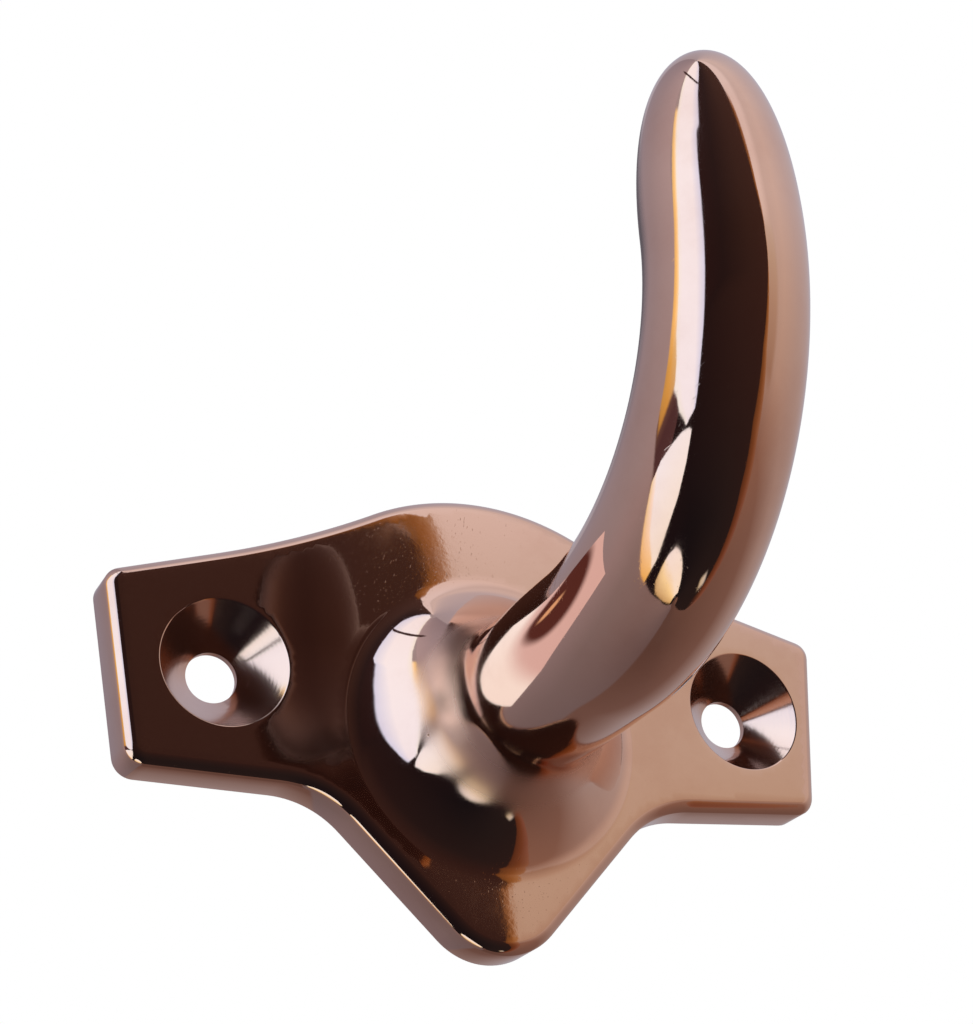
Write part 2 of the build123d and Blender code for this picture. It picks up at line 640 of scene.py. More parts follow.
@dataclass(frozen=True)
class PlateOutline:
    """Outline of the winged plate in its own plane, x to the right and z up, in metres.

    Attributes:
        point_spacing: Longest distance between neighbouring points.
        middle_slack: How far a point may lie past the middle, as a share of the spacing.
        least_gap: Distance under which neighbours count as one, as a share of the spacing.
    """

    wing_span_top: float = 60.8 * MM
    wing_span_bottom: float = 57.4 * MM
    wing_top_z: float = 6.6 * MM
    wing_bottom_z: float = -8.2 * MM
    top_corner_radius: float = 1.4 * MM
    bottom_corner_radius: float = 1.65 * MM
    crown_z: float = 15.95 * MM
    hump_radius: float = 19.9 * MM
    hump_half_width: float = 12.45 * MM
    shoulder_radius: float = 77.0 * MM
    lobe_tip_z: float = -20.8 * MM
    lobe_tip_radius: float = 5.6 * MM
    lobe_side_angle: float = math.radians(46.3)
    waist_half_width: float = 13.8 * MM
    waist_radius: float = 8.1 * MM
    point_spacing: float = 0.35 * MM
    middle_slack: float = 0.01
    least_gap: float = 0.05

    def lobe_apex(self) -> np.ndarray:
        """Sharp point where the lobe's two straight sides would meet."""
        sink = self.lobe_tip_radius * (1 / math.cos(self.lobe_side_angle) - 1)
        return np.array([0.0, self.lobe_tip_z - sink])

    def side_distance(self, z: float) -> float:
        """Distance from a point on the centre line to the lobe's straight side."""
        return (z - self.lobe_apex()[1]) * math.cos(self.lobe_side_angle)

    def shoulder(self, wing_top: np.ndarray) -> tuple[np.ndarray, np.ndarray]:
        """The convex hump and the hollow shoulder that blends it into the wing's top edge.

        Args:
            wing_top: Sharp outer corner at the top of the wing.

        Returns:
            Points on the hump from the crown on, and points on the shoulder.
        """
        hump_centre = np.array([0.0, self.crown_z - self.hump_radius])
        rise = math.sqrt(self.hump_radius**2 - self.hump_half_width**2)
        foot = hump_centre + np.array([self.hump_half_width, rise])
        along = unit(wing_top - foot)
        upward = np.array([-along[1], along[0]])
        offset = foot + upward * self.shoulder_radius - hump_centre
        reach = self.hump_radius + self.shoulder_radius
        half_b = float(along @ offset)
        slide = -half_b + math.sqrt(half_b**2 - float(offset @ offset) + reach**2)
        centre = hump_centre + offset + along * slide
        hump_end = angle_of(unit(centre - hump_centre))
        hump = arc_points(hump_centre, self.hump_radius, math.pi / 2, hump_end, self.point_spacing)
        start = hump_end - math.pi
        end = start + shortest_turn(start, angle_of(-upward))
        hollow = arc_points(centre, self.shoulder_radius, start, end, self.point_spacing)
        return hump, hollow

    def right_half(self) -> np.ndarray:
        """Sample the right half of the outline.

        Returns:
            Points from the crown round the right wing to the tip of the lobe, clockwise.
        """
        wing_top = np.array([self.wing_span_top / 2, self.wing_top_z])
        wing_bottom = np.array([self.wing_span_bottom / 2, self.wing_bottom_z])
        apex = self.lobe_apex()
        rise = self.waist_half_width * math.tan(self.lobe_side_angle)
        waist = np.array([self.waist_half_width, apex[1] + rise])
        left_waist = waist * np.array([-1, 1])
        hump, hollow = self.shoulder(wing_top)
        rounds = [
            CornerRound(hollow[-1], wing_top, wing_bottom, self.top_corner_radius),
            CornerRound(wing_top, wing_bottom, waist, self.bottom_corner_radius),
            CornerRound(wing_bottom, waist, apex, self.waist_radius),
            CornerRound(waist, apex, left_waist, self.lobe_tip_radius),
        ]
        runs = [hump, hollow]
        for corner in rounds:
            bend = corner.sample(self.point_spacing)
            runs.append(straight_points(runs[-1][-1], bend[0], self.point_spacing))
            runs.append(bend)
        points = np.concatenate(runs)
        points = points[points[:, 0] > -self.point_spacing * self.middle_slack]
        points[0, 0] = 0.0
        points[-1] = (0.0, self.lobe_tip_z)
        gaps = np.linalg.norm(np.diff(points, axis=0), axis=1)
        return points[np.concatenate([[True], gaps > self.point_spacing * self.least_gap])]

    def loop(self) -> np.ndarray:
        """Sample the whole outline.

        Returns:
            A closed clockwise loop, the first point not repeated.
        """
        right = self.right_half()
        left = (right * np.array([-1, 1]))[::-1]
        return np.concatenate([right, left[1:-1]])


def outward_normals(loop: np.ndarray) -> np.ndarray:
    """Find the normals of a closed clockwise loop.

    Args:
        loop: Points of the loop.

    Returns:
        A unit vector for each point, which points out of the loop.
    """
    ahead = np.roll(loop, -1, axis=0) - np.roll(loop, 1, axis=0)
    ahead /= np.linalg.norm(ahead, axis=1)[:, None]
    return np.stack([-ahead[:, 1], ahead[:, 0]], axis=1)


def distance_to_loop(points: np.ndarray, loop: np.ndarray) -> np.ndarray:
    """Measure how far points lie from a closed loop.

    Args:
        points: The points, one row each.
        loop: Points of the loop.

    Returns:
        Distance from each point to the nearest side.
    """
    start = loop[None]
    side = np.roll(loop, -1, axis=0)[None] - start
    to_point = points[:, None] - start
    share = np.clip((to_point * side).sum(2) / (side * side).sum(2), 0, 1)
    return np.linalg.norm(to_point - share[..., None] * side, axis=2).min(axis=1)


def inside_loop(points: np.ndarray, loop: np.ndarray) -> np.ndarray:
    """Find which points lie inside a closed loop, by counting crossings of a ray.

    Args:
        points: The points, one row each.
        loop: Points of the loop.

    Returns:
        True for each point inside.
    """
    start, end = loop[None], np.roll(loop, -1, axis=0)[None]
    x, z = points[:, 0, None], points[:, 1, None]
    spans = (start[..., 1] > z) != (end[..., 1] > z)
    rise = np.where(spans, end[..., 1] - start[..., 1], 1.0)
    cross = start[..., 0] + (z - start[..., 1]) * (end[..., 0] - start[..., 0]) / rise
    return (spans & (x < cross)).sum(axis=1) % 2 == 1


@dataclass
class Shell:
    """Vertices and faces gathered from all regions of the casting."""

    verts: list[np.ndarray] = field(default_factory=list)
    faces: Faces = field(default_factory=list)
    count: int = 0
    weld_distance: float = 0.002 * MM
    sliver_length: float = 0.0005 * MM
    sharp_angle: float = math.radians(33)

    def add(self, verts: np.ndarray, faces: Faces) -> None:
        """Append a patch of surface.

        Args:
            verts: Points of the patch.
            faces: Faces as indices into those points.
        """
        self.faces += [tuple(i + self.count for i in face) for face in faces]
        self.verts.append(verts)
        self.count += len(verts)

    def add_strips(self, loops: list[np.ndarray]) -> None:
        """Append the quads between successive closed loops.

        Args:
            loops: The loops, which have equally many points.
        """
        size = len(loops[0])
        faces = [
            (row * size + i, row * size + (i + 1) % size,
             (row + 1) * size + (i + 1) % size, (row + 1) * size + i)
            for row in range(len(loops) - 1)
            for i in range(size)
        ]
        self.add(np.concatenate(loops), faces)

    def loose(self, name: str) -> bpy.types.Mesh:
        """The patches as a mesh, not joined."""
        return new_mesh(name, np.concatenate(self.verts).tolist(), self.faces)

    def mesh(self, name: str) -> bpy.types.Mesh:
        """Join the patches into one closed mesh whose faces point outwards.

        Args:
            name: Name of the mesh.

        Returns:
            The mesh, smooth but for its true edges.
        """
        mesh = self.loose(name)
        work = bmesh.new()
        work.from_mesh(mesh)
        bmesh.ops.remove_doubles(work, verts=work.verts, dist=self.weld_distance)
        bmesh.ops.dissolve_degenerate(work, edges=work.edges, dist=self.sliver_length)
        bmesh.ops.recalc_face_normals(work, faces=work.faces)
        open_edges = sum(not edge.is_manifold for edge in work.edges)
        LOG.info("%s: %d faces, %d open edges", name, len(work.faces), open_edges)
        work.to_mesh(mesh)
        work.free()
        mesh.shade_smooth()
        mesh.set_sharp_from_angle(angle=self.sharp_angle)
        return mesh


@dataclass(frozen=True)
class ScrewHole:
    """A countersunk screw hole: mouth, cone and bore, in metres.

    Attributes:
        wander_rate: Steps of noise from one groove to the next.
        groove_wander: How far noise shifts a groove, in radians of its wave.
        end_fade: How soon the grooves reach their full depth from the mouth and the bore.
        groove_gain: Sends the grooves inwards, and doubles noise that averages a half.
    """

    x: float
    z: float = 0.0
    bore_radius: float = 2.0 * MM
    mouth_radius: float = 5.0 * MM
    half_angle: float = math.radians(41)
    rim_round: float = 0.15 * MM
    points_around: int = 144
    rim_rows: int = 6
    cone_rows: int = 72
    bore_rows: int = 5
    groove_pitch: float = 0.24 * MM
    groove_depth: float = 0.0007 * MM
    wander_rate: float = 0.9
    groove_wander: float = 5.0
    end_fade: float = 12.0
    groove_gain: float = -2.0
    seed: int = 4

    def ring(self, radius: float, y: float) -> np.ndarray:
        """Set points round the hole's axis.

        Args:
            radius: Radius of the ring.
            y: Depth of the ring.

        Returns:
            The points, one row each.
        """
        angles = np.linspace(0, math.tau, self.points_around, endpoint=False)
        x = self.x + radius * np.cos(angles)
        z = self.z + radius * np.sin(angles)
        return raised(np.stack([x, z], axis=1), y)

    def profile(self, thickness: float) -> list[tuple[float, float]]:
        """Radius and depth of each ring, from the plate's front face to its back face.

        Args:
            thickness: Thickness of the plate.

        Returns:
            The rounded mouth, the cone and the bore.
        """
        front = -thickness
        cone_end = front + (self.mouth_radius - self.bore_radius) / math.tan(self.half_angle)
        sweep = math.pi / 2 - self.half_angle
        tangent = self.rim_round * math.tan(sweep / 2)
        rows = []
        for turn in np.linspace(0, sweep, self.rim_rows):
            inward = self.rim_round * math.sin(turn)
            sink = self.rim_round * (1 - math.cos(turn))
            rows.append((self.mouth_radius + tangent - inward, front + sink))
        radius, y = rows[-1]
        for share in np.linspace(0, 1, self.cone_rows)[1:-1]:
            rows.append((radius + (self.bore_radius - radius) * share, y + (cone_end - y) * share))
        for share in np.linspace(0, 1, self.bore_rows):
            rows.append((self.bore_radius, cone_end * (1 - share)))
        return rows

    def grooved(self, name: str, material: bpy.types.Material,
                thickness: float) -> list[np.ndarray]:
        """Rings of the hole, with the fine grooves that the countersink cutter left.

        Args:
            name: Name of the hole.
            material: Finish of the casting.
            thickness: Thickness of the plate.

        Returns:
            Rings from the mouth to the back face.
        """
        blank = Shell()
        blank.add_strips([self.ring(radius, y) for radius, y in self.profile(thickness)])
        tree = GeometryTree("turned_grooves", {
            "Axis X": self.x, "Axis Z": self.z, "Bore Radius": self.bore_radius,
            "Mouth Radius": self.mouth_radius, "Groove Pitch": self.groove_pitch,
            "Groove Depth": self.groove_depth, "Seed": self.seed, "Material": material,
        })
        graph, shape = tree.start()
        place = graph.add("GeometryNodeInputPosition")
        across = place.axis("X") - shape.sibling("Axis X")
        upward = place.axis("Z") - shape.sibling("Axis Z")
        radius = (across * across + upward * upward).math("SQRT")
        turns = radius / shape.sibling("Groove Pitch")
        uneven = graph.add("ShaderNodeTexNoise", {"noise_dimensions": "1D"}, {
            "W": turns * self.wander_rate + shape.sibling("Seed"), "Scale": 1.0, "Detail": 0.0,
        })
        wave = (turns * math.tau + uneven * self.groove_wander).math("SINE") * 0.5 + 0.5
        low = shape.sibling("Bore Radius")
        high = shape.sibling("Mouth Radius")
        room = ((radius - low) / (high - low)).math("MULTIPLY", 1.0, clamp=True)
        fade = (room * (1 - room) * self.end_fade).math("MULTIPLY", 1.0, clamp=True)
        depth = wave * uneven * fade * shape.sibling("Groove Depth") * self.groove_gain
        values = {0: graph.add("GeometryNodeInputNormal"), "Scale": depth}
        offset = graph.add("ShaderNodeVectorMath", {"operation": "SCALE"}, values)
        moved = graph.add("GeometryNodeSetPosition", None, {"Geometry": shape, "Offset": offset})
        tree.finish(graph, moved, shape.sibling("Material"))
        baked = tree.bake(graph, blank.loose(name))
        return list(mesh_points(baked).reshape(-1, self.points_around, 3))


@dataclass(frozen=True)
class Horn:
    """The round horn: trumpet flare, level shank, quarter bend and bullet tip, in metres.

    Each part is a list of stations along the horn's centre line: y, z and radius. The foot
    blend's place is found by halving the range that it lies in.
    """

    plate_front_y: float
    flare_foot_radius: float
    axis_z: float = -3.3 * MM
    root_radius: float = 6.0 * MM
    upright_radius: float = 5.4 * MM
    straight: float = 18.9 * MM
    bend_radius: float = 20.6 * MM
    flare_length: float = 9.0 * MM
    flare_side_pull: float = 5.5 * MM
    flare_foot_blend: float = 2.4 * MM
    tip_top_z: float = 31.3 * MM
    tip_side_pull: float = 8.7 * MM
    tip_crown_pull: float = 3.3 * MM
    points_around: int = 176
    profile_points: int = 400
    halvings: int = 50
    blend_rows: int = 9
    flare_rows: int = 44
    shank_rows: int = 20
    bend_rows: int = 73
    tip_rows: int = 81

    def flare(self) -> list[Point]:
        """Lay out the foot blend and the trumpet flare.

        Returns:
            Stations from the plate's front to the shank.
        """
        profile = bezier((
            (self.flare_foot_radius, 0.0),
            (self.root_radius, self.flare_length - self.flare_side_pull),
            (self.root_radius, self.flare_length),
        ), self.profile_points)
        blend = self.flare_foot_blend
        low, high = self.flare_foot_radius, self.flare_foot_radius + blend
        for _ in range(self.halvings):
            middle = (low + high) / 2
            gap = np.linalg.norm(profile - (middle, blend), axis=1).min()
            low, high = (middle, high) if gap < blend else (low, middle)
        touch = int(np.linalg.norm(profile - (low, blend), axis=1).argmin())
        sweep = math.asin((low - profile[touch, 0]) / blend)
        stations = []
        for turn in np.linspace(0, sweep, self.blend_rows):
            rise = blend * (1 - math.cos(turn))
            stations.append((self.plate_front_y - rise, self.axis_z, low - blend * math.sin(turn)))
        picked = np.linspace(touch, self.profile_points - 1, self.flare_rows).astype(int)[1:]
        for radius, height in profile[picked]:
            stations.append((self.plate_front_y - height, self.axis_z, radius))
        return stations

    def shank(self) -> list[Point]:
        """Lay out the level shank.

        Returns:
            Stations between the flare's last one and the bend's first.
        """
        start = self.plate_front_y - self.flare_length
        end = self.plate_front_y - self.straight
        depths = np.linspace(start, end, self.shank_rows)[1:-1]
        return [(y, self.axis_z, self.root_radius) for y in depths]

    def bend(self) -> list[Point]:
        """Lay out the quarter bend, which slims smoothly from root to upright.

        Returns:
            Stations from the shank to the tip.
        """
        stations = []
        for share in np.linspace(0, 1, self.bend_rows):
            turn = share * math.pi / 2
            ease = share * share * (3 - 2 * share)
            stations.append((
                self.plate_front_y - self.straight - self.bend_radius * math.sin(turn),
                self.axis_z + self.bend_radius * (1 - math.cos(turn)),
                self.root_radius + (self.upright_radius - self.root_radius) * ease,
            ))
        return stations

    def tip(self) -> list[Point]:
        """Lay out the bullet tip, on a Bezier profile that closes on the axis.

        Returns:
            Stations above the bend's last one.
        """
        y = self.plate_front_y - self.straight - self.bend_radius
        foot = self.axis_z + self.bend_radius
        profile = bezier((
            (self.upright_radius, foot),
            (self.upright_radius, foot + self.tip_side_pull),
            (self.tip_crown_pull, self.tip_top_z),
            (0.0, self.tip_top_z),
        ), self.tip_rows)
        return [(y, height, radius) for radius, height in profile[1:]]

    def swept(self, material: bpy.types.Material) -> list[np.ndarray]:
        """Sweep a circle along the horn's centre line, with its own radius at each station.

        Args:
            material: Finish of the casting.

        Returns:
            Rings of points from the plate's front to the tip.
        """
        stations = self.flare() + self.shank() + self.bend() + self.tip()
        curve = bpy.data.curves.new("horn_line", "CURVE")
        curve.dimensions = "3D"
        line = curve.splines.new("POLY")
        line.points.add(len(stations) - 1)
        for point, (y, z, radius) in zip(line.points, stations):
            point.co = (0.0, y, z, 1.0)
            point.radius = radius / self.root_radius
        tree = GeometryTree("swept_horn", {
            "Root Radius": self.root_radius, "Points Around": self.points_around,
            "Material": material,
        })
        graph, shape = tree.start()
        circle = graph.add("GeometryNodeCurvePrimitiveCircle", None, {
            "Resolution": shape.sibling("Points Around"), "Radius": shape.sibling("Root Radius"),
        })
        girth = graph.add("GeometryNodeInputRadius")
        skin = graph.add("GeometryNodeCurveToMesh", None, {
            "Curve": shape, "Profile Curve": circle, "Scale": girth,
        })
        tree.finish(graph, skin, shape.sibling("Material"))
        baked = tree.bake(graph, curve)
        return list(mesh_points(baked).reshape(-1, self.points_around, 3))


@dataclass(frozen=True)
class Plate:
    """The winged wall plate: flat back, walls, softened edges and buffed front, in metres.

    Attributes:
        edge_power: Power of the front edge's rounding; 2 is a quarter circle.
        buff_drop: How far buffing has rolled the front face down at its rim.
        buff_reach: Distance from the rim over which that fades.
        seat_rows: Rings over which an opening returns to its own depth from the rolled face.
        clearance: Least distance of a grid point from the rim or an opening, in grid spacings.
        same_point: Distance under which points count as one, in millimetres.
    """

    outline: PlateOutline
    thickness: float = 4.0 * MM
    front_edge_radius: float = 0.85 * MM
    back_edge_radius: float = 0.22 * MM
    back_edge_rows: int = 5
    edge_rows: int = 12
    edge_power: float = 1.4
    buff_drop: float = 0.03 * MM
    buff_reach: float = 1.3 * MM
    seat_rows: int = 12
    grid_spacing: float = 0.5 * MM
    clearance: float = 0.6
    same_point: float = 1e-6

    def section(self) -> list[tuple[float, float]]:
        """Lay out the plate's wall and its two rounded edges.

        Returns:
            Inset and depth of each row from the back face to the rim of the front face.
        """
        rows = []
        for turn in np.linspace(math.pi / 2, 0, self.back_edge_rows):
            inset = self.back_edge_radius * (1 - math.cos(turn))
            rows.append((inset, -self.back_edge_radius * (1 - math.sin(turn))))
        rows.append((0.0, -self.thickness / 2))
        front = self.buff_drop - self.thickness
        for turn in np.linspace(0, math.pi / 2, self.edge_rows + 1):
            inset = self.front_edge_radius * (1 - max(math.cos(turn), 0) ** (2 / self.edge_power))
            drop = self.front_edge_radius * (1 - math.sin(turn) ** (2 / self.edge_power))
            rows.append((inset, front + drop))
        return rows

    def wall_loops(self) -> list[np.ndarray]:
        """Carry the outline over the plate's wall and edges.

        Returns:
            Closed loops from the back face to the rim of the front face.
        """
        loop = self.outline.loop()
        normals = outward_normals(loop)
        return [raised(loop - normals * inset, y) for inset, y in self.section()]

    def grid(self, rim: np.ndarray, openings: list[np.ndarray]) -> np.ndarray:
        """Spread staggered points over the front face, clear of its rim and its openings.

        Args:
            rim: Outer loop of the face.
            openings: Loops of the screw holes and of the horn's foot.

        Returns:
            The points, one row each.
        """
        low, high = rim.min(axis=0), rim.max(axis=0)
        row_gap = self.grid_spacing * math.sqrt(3) / 2
        rows = np.arange(low[1], high[1], row_gap)
        columns = np.arange(low[0], high[0], self.grid_spacing)
        points = np.array([
            (x + (row % 2) * self.grid_spacing / 2, z)
            for row, z in enumerate(rows)
            for x in columns
        ])
        clear = self.grid_spacing * self.clearance
        keep = inside_loop(points, rim)
        for opening in openings:
            centre = opening.mean(axis=0)
            radius = np.linalg.norm(opening - centre, axis=1).max()
            keep &= np.linalg.norm(points - centre, axis=1) > radius + clear
        points = points[keep]
        return points[distance_to_loop(points, rim) > clear]

    def fill(self, rim: np.ndarray, openings: list[np.ndarray],
             grid: np.ndarray) -> tuple[np.ndarray, Faces]:
        """Triangulate a flat region with round openings.

        Args:
            rim: Outer loop.
            openings: Inner loops.
            grid: Further points inside the region.

        Returns:
            The flat points, and the triangles between them.
        """
        loops = [rim] + openings
        flat = np.concatenate(loops + [grid])
        edges = []
        first = 0
        for loop in loops:
            edges += [(first + i, first + (i + 1) % len(loop)) for i in range(len(loop))]
            first += len(loop)
        scaled = [Vector(point) for point in flat / MM]
        verts, _, faces, *_ = delaunay_2d_cdt(scaled, edges, [], 0, self.same_point)
        points = np.array([(v.x, v.y) for v in verts]) * MM
        middles = np.array([points[list(face)].mean(axis=0) for face in faces])
        keep = inside_loop(middles, rim)
        for opening in openings:
            keep &= ~inside_loop(middles, opening)
        return points, [tuple(face) for face, kept in zip(faces, keep) if kept]

    def buff_roll(self, flat: np.ndarray, rim: np.ndarray) -> np.ndarray:
        """How far buffing has rolled the front face down towards its rim at each flat point."""
        return self.buff_drop * np.exp(-distance_to_loop(flat, rim) / self.buff_reach)

    def seated(self, rings: list[np.ndarray], rim: np.ndarray) -> list[np.ndarray]:
        """Lay the first rings of an opening or of the horn on the buffed face.

        Args:
            rings: Rings whose first one lies on the unbuffed front plane.
            rim: Rim of the front face.

        Returns:
            The same rings, the first on the front face.
        """
        roll = self.buff_roll(flattened(rings[0]), rim)
        seated = [ring.copy() for ring in rings]
        for row in range(self.seat_rows):
            seated[row][:, 1] += roll * (1 - row / self.seat_rows)
        return seated

    def build(self, shell: Shell, horn: list[np.ndarray], holes: list[list[np.ndarray]]) -> None:
        """Add the plate, its screw holes and the horn to the shell.

        Args:
            shell: Shell to add to.
            horn: Rings of the horn, from the plate's front on.
            holes: Rings of each screw hole, from the front face to the back face.
        """
        loops = self.wall_loops()
        shell.add_strips(loops)
        rim, back = flattened(loops[-1]), flattened(loops[0])
        openings = []
        for rings in (*holes, horn):
            seated = self.seated(rings, rim)
            shell.add_strips(seated)
            openings.append(flattened(seated[0]))
        bores = [flattened(rings[-1]) for rings in holes]
        flat, faces = self.fill(rim, openings, self.grid(rim, openings))
        shell.add(raised(flat, self.buff_roll(flat, rim) - self.thickness), faces)
        flat, faces = self.fill(back, bores, np.zeros((0, 2)))
        shell.add(raised(flat, 0.0), faces)


@dataclass(frozen=True)
class Casting:
    """The whole hook, one casting: plate, two screw holes and horn, in metres."""

    flare_rim: float = 1.45 * MM
    screw_spacing: float = 44.2 * MM
    screw_pair_offset: float = 0.75 * MM
    finish: PolishedBronze = PolishedBronze()

    def build(self) -> bpy.types.Object:
        """Build and dress the casting.

        Returns:
            The piece, at the origin, in place of the plain CAD node.
        """
        material = self.finish.material()
        plate = Plate(PlateOutline())
        nearest = plate.outline.side_distance(Horn.axis_z)
        foot_radius = nearest - plate.front_edge_radius - self.flare_rim
        horn = Horn(-plate.thickness, foot_radius).swept(material)
        holes = []
        for side, name in ((-1, "left_hole"), (1, "right_hole")):
            hole = ScrewHole(self.screw_pair_offset + side * self.screw_spacing / 2)
            holes.append(hole.grooved(name, material, plate.thickness))
        shell = Shell()
        plate.build(shell, horn, holes)
        mesh = shell.mesh("hook_polished")
        mesh.materials.append(material)
        piece = new_object("hook_polished", mesh)
        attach(piece, BODY)
        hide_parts(NODE)
        return piece


@dataclass(frozen=True)
class Card:
    """A curved studio card, far from the hook, that the polished metal reflects.

    Attributes:
        name: Name of the card.
        edges: Rows of (elevation, left azimuth, right azimuth) in degrees, lowest first. Azimuth 0
            is straight in front of the hook, and it grows towards the hook's right, +X.
        upward: Stops of the colour from the card's lowest row to its highest.
        across: Stops of a tint over that, from its left edge to its right.
        soft: Share of the width over which the left and right edges fade.
        soft_ends: Share of the height over which the lower and upper ends fade.
        distance: Distance from the hook, in metres.
        row_steps: Rows of faces from one row of edges to the next.
        columns: Points across the card.
    """

    name: str
    edges: tuple[Point, ...]
    upward: Stops
    across: Stops = ((0.0, (1.0, 1.0, 1.0)), (1.0, (1.0, 1.0, 1.0)))
    soft: float = 0.0
    soft_ends: float = 0.0
    distance: float = 1.2
    row_steps: int = 8
    columns: int = 49

    def point(self, elevation: float, azimuth: float) -> Point:
        """Find the place on the card's sphere that lies in some direction.

        Args:
            elevation: Angle above the level, in degrees.
            azimuth: Angle round towards +X, in degrees.

        Returns:
            The place, in metres.
        """
        up, turn = math.radians(elevation), math.radians(azimuth)
        reach = self.distance * math.cos(up)
        return (reach * math.sin(turn), -reach * math.cos(turn), self.distance * math.sin(up))

    def fade(self, place: Socket, share: float) -> Any:
        """Fade a span at both ends.

        Args:
            place: Place in the span, from 0 to 1.
            share: Share of the span over which each end fades.

        Returns:
            A mask that rises from 0 at the ends to 1 inside.
        """
        if share <= 0:
            return 1.0
        return place.math("MINIMUM", 1 - place).smooth_step(0.0, share)

    def material(self) -> bpy.types.Material:
        """Make an even glow that changes gently over the card and fades at its edges.

        Returns:
            The glow.
        """
        made, graph = new_material(self.name)
        where = graph.add("ShaderNodeUVMap", {"uv_map": "card"})
        u, v = where.axis("X"), where.axis("Y")
        colour = graph.add("ShaderNodeValToRGB", {"stops": self.upward}, {0: v})
        tint = graph.add("ShaderNodeValToRGB", {"stops": self.across}, {0: u})
        mask = self.fade(u, self.soft) * self.fade(v, self.soft_ends)
        end_glow(graph, colour.vector_math("MULTIPLY", tint), mask)
        return made

    def build(self) -> None:
        """Make the card and hang it."""
        table = np.array(self.edges, dtype=float)
        steps = [
            np.linspace(low, high, self.row_steps + 1)[:-1]
            for low, high in zip(table[:-1, 0], table[1:, 0])
        ]
        rows = np.concatenate([*steps, table[-1:, 0]])
        left = np.interp(rows, table[:, 0], table[:, 1])
        right = np.interp(rows, table[:, 0], table[:, 2])
        verts = [
            self.point(elevation, azimuth)
            for elevation, start, end in zip(rows, left, right)
            for azimuth in np.linspace(start, end, self.columns)
        ]
        faces = [
            (first, first + 1, first + self.columns + 1, first + self.columns)
            for row in range(len(rows) - 1)
            for first in range(row * self.columns, (row + 1) * self.columns - 1)
        ]
        mesh = new_mesh(self.name, verts, faces)
        layer = mesh.uv_layers.new(name="card")
        for loop in mesh.loops:
            row, column = divmod(loop.vertex_index, self.columns)
            height = (rows[row] - rows[0]) / (rows[-1] - rows[0])
            layer.uv[loop.index].vector = (column / (self.columns - 1), height)
        hang_card(self.name, mesh, self.material())


@dataclass(frozen=True)
class PaintedReflectionCard:
    """A small flat glowing card close beside the horn's root, seen only from the root's polished
    side, which it gives a painted reflection: a pale glow with a dark oval and a pale oval in it.

    It stands upright and square to the plate, and its outer side is clear.

    Attributes:
        x: Where it stands, in metres.
        corners: Its corners, each y and z in millimetres.
        spot_centre: Middle of its dark oval, y and z in millimetres.
        spot_half_size: Half length and half height of the oval, in millimetres.
        core_centre: Middle of the pale oval within the dark one, as spot_centre.
        core_half_size: Its half length and half height, in millimetres.
        slope: Rise of both ovals' long axes for each millimetre of y.
        near_span: Values of y between which the glow turns pale, in millimetres.
        spot_rim: Shares of the dark oval's half size over which it fades.
        core_rim: The same for the pale oval.
        last_ray: Ray depth beyond which the card is clear.
    """

    name: str = "painted_reflection_card"
    x: float = -9.5 * MM
    corners: tuple[tuple[float, float], ...] = (
        (-30.5, -4.0), (-8.8, -9.6), (-8.6, -3.0), (-8.0, 0.5),
        (-7.3, 6.0), (-16.0, 3.5), (-30.5, 0.6),
    )
    near_glow: Colour = (1.25, 1.35, 1.45)
    far_glow: Colour = (0.92, 0.74, 0.78)
    near_span: Span = (-16.5, -12.0)
    spot_glow: Colour = (0.12, 0.04, 0.035)
    spot_centre: tuple[float, float] = (-22.0, -0.7)
    spot_half_size: tuple[float, float] = (6.9, 3.6)
    spot_rim: Span = (0.75, 1.05)
    core_glow: Colour = (0.95, 0.60, 0.36)
    core_centre: tuple[float, float] = (-20.4, -0.6)
    core_half_size: tuple[float, float] = (2.8, 0.55)
    core_rim: Span = (0.5, 1.1)
    slope: float = -0.05
    last_ray: float = 1.5

    def oval(self, where: Socket, centre: tuple[float, float],
             half_size: tuple[float, float]) -> Socket:
        """Measure how far out points lie from the middle of an oval.

        Args:
            where: Object coordinates.
            centre: Middle of the oval, y and z in millimetres.
            half_size: Half length and half height, in millimetres.

        Returns:
            The distance as a share of the oval's half size, 1 at its edge.
        """
        ahead = where.axis("Y") * (1 / MM) - centre[0]
        level = where.axis("Z") * (1 / MM) - centre[1] - ahead * self.slope
        return ((ahead / half_size[0]) ** 2 + (level / half_size[1]) ** 2) ** 0.5

    def material(self) -> bpy.types.Material:
        """Make the painted reflection: a glow that pales towards the plate, with the ovals, seen
        from its front and once.

        Returns:
            The glow.
        """
        made, graph = new_material(self.name)
        where = graph.add("ShaderNodeTexCoord", output="Object")
        near = (where.axis("Y") * (1 / MM)).smooth_step(*self.near_span)
        spot = self.oval(where, self.spot_centre, self.spot_half_size)
        core = self.oval(where, self.core_centre, self.core_half_size)
        # Painted reflection: a pale glow, a dark oval and a pale oval within it.
        colour = graph.mix(near, self.far_glow, self.near_glow)
        colour = graph.mix(1 - spot.smooth_step(*self.spot_rim), colour, self.spot_glow)
        colour = graph.mix(1 - core.smooth_step(*self.core_rim), colour, self.core_glow)
        behind = graph.add("ShaderNodeNewGeometry", output="Backfacing")
        depth = graph.add("ShaderNodeLightPath", output="Ray Depth")
        hidden = behind.math("MAXIMUM", depth.math("GREATER_THAN", self.last_ray))
        end_glow(graph, colour, 1 - hidden)
        return made

    def build(self) -> None:
        """Make the card and hang it."""
        corners = [(self.x, y * MM, z * MM) for y, z in self.corners]
        mesh = new_mesh(self.name, corners, [tuple(range(len(corners)))])
        hang_card(self.name, mesh, self.material())


